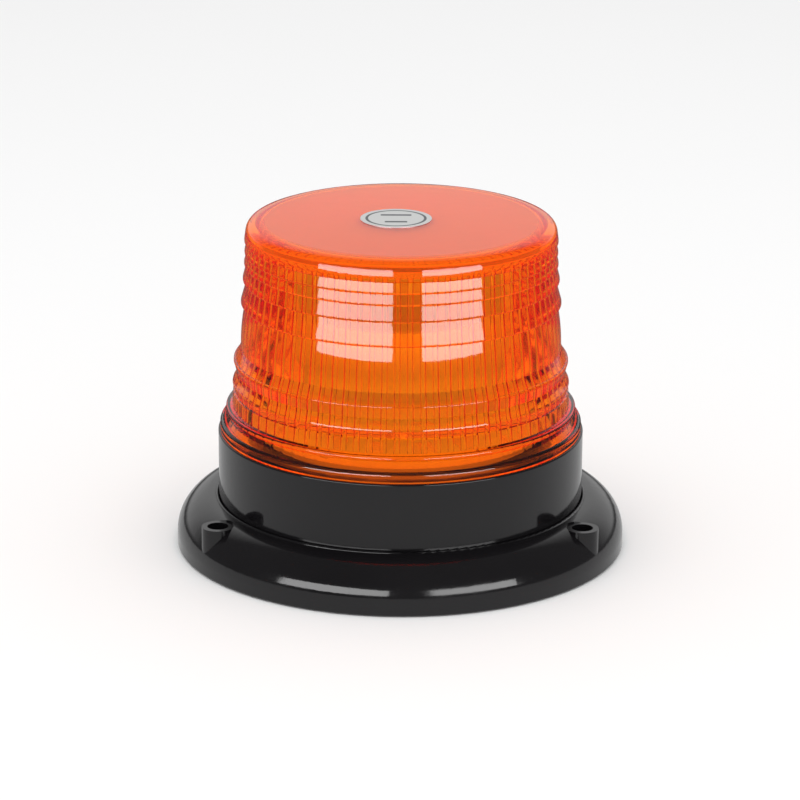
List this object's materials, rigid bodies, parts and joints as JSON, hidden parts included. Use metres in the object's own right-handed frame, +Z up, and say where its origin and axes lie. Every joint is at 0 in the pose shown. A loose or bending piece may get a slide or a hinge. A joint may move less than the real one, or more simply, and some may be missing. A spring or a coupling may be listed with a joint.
{
  "type": "warning beacon",
  "caption": "Round amber LED warning beacon: ribbed lens that twists off a black cup on a screw-down flange, with LED board, bowl reflector and driver inside.",
  "frame": {"origin": "middle of the underside, on the mounting surface", "axes": "+Z up through the lens; the third flange screw hole is on +Y, away from the front"},
  "size_m": [0.14, 0.14, 0.1042],
  "materials": {
    "black_abs": "semi-gloss moulded black",
    "black_rubber": "matte moulded rubber",
    "amber_lens": "clear tinted polycarbonate with moulded rings and flutes",
    "label_foil": "satin silver foil with a printed ring",
    "spreader_aluminium": "rolled sheet",
    "white_board": "white solder mask",
    "led_chip": "resin over phosphor",
    "tinned_pin": "tinned",
    "post_brass": "turned",
    "bowl_chrome": "vacuum-metalised plastic",
    "green_board": "green solder mask",
    "capacitor_can": "shrink sleeve",
    "ferrite": "sintered ferrite",
    "copper_wire": "enamelled winding",
    "terminal_plastic": "moulded",
    "chip_epoxy": "moulded epoxy",
    "resistor_ceramic": "glazed ceramic",
    "screw_steel": "zinc plated"
  },
  "bodies": {
    "base": {"mounting_flange": "black_abs", "base_housing": "black_abs", "bottom_cover": "black_abs", "mounting_gasket": "black_rubber", "cable_grommet": "black_rubber", "lens_gasket": "black_rubber", "heat_spreader": "spreader_aluminium", "led_board": "white_board", "leds": "led_chip", "board_link_pins": "tinned_pin", "reflector_post": "post_brass", "reflector_bowl": "bowl_chrome", "driver_board": "green_board", "input_capacitor": "capacitor_can", "output_capacitor": "capacitor_can", "choke_core": "ferrite", "choke_winding": "copper_wire", "input_terminal": "terminal_plastic", "driver_chip": "chip_epoxy", "switching_transistor": "chip_epoxy", "rectifier_diodes": "chip_epoxy", "sense_resistors": "resistor_ceramic", "cover_screws": "screw_steel", "driver_board_screws": "screw_steel", "led_board_screws": "screw_steel", "reflector_screw": "screw_steel"},
    "lens_body": {"lens": "amber_lens", "rating_label": "label_foil"}
  },
  "joints": [
    {"name": "lens_twist", "type": "hinge", "parent": "base", "child": "lens_body", "pos_m": [0, 0, 0.0371], "axis": [0, 0, 1], "range_deg": [0, 22]}
  ]
}
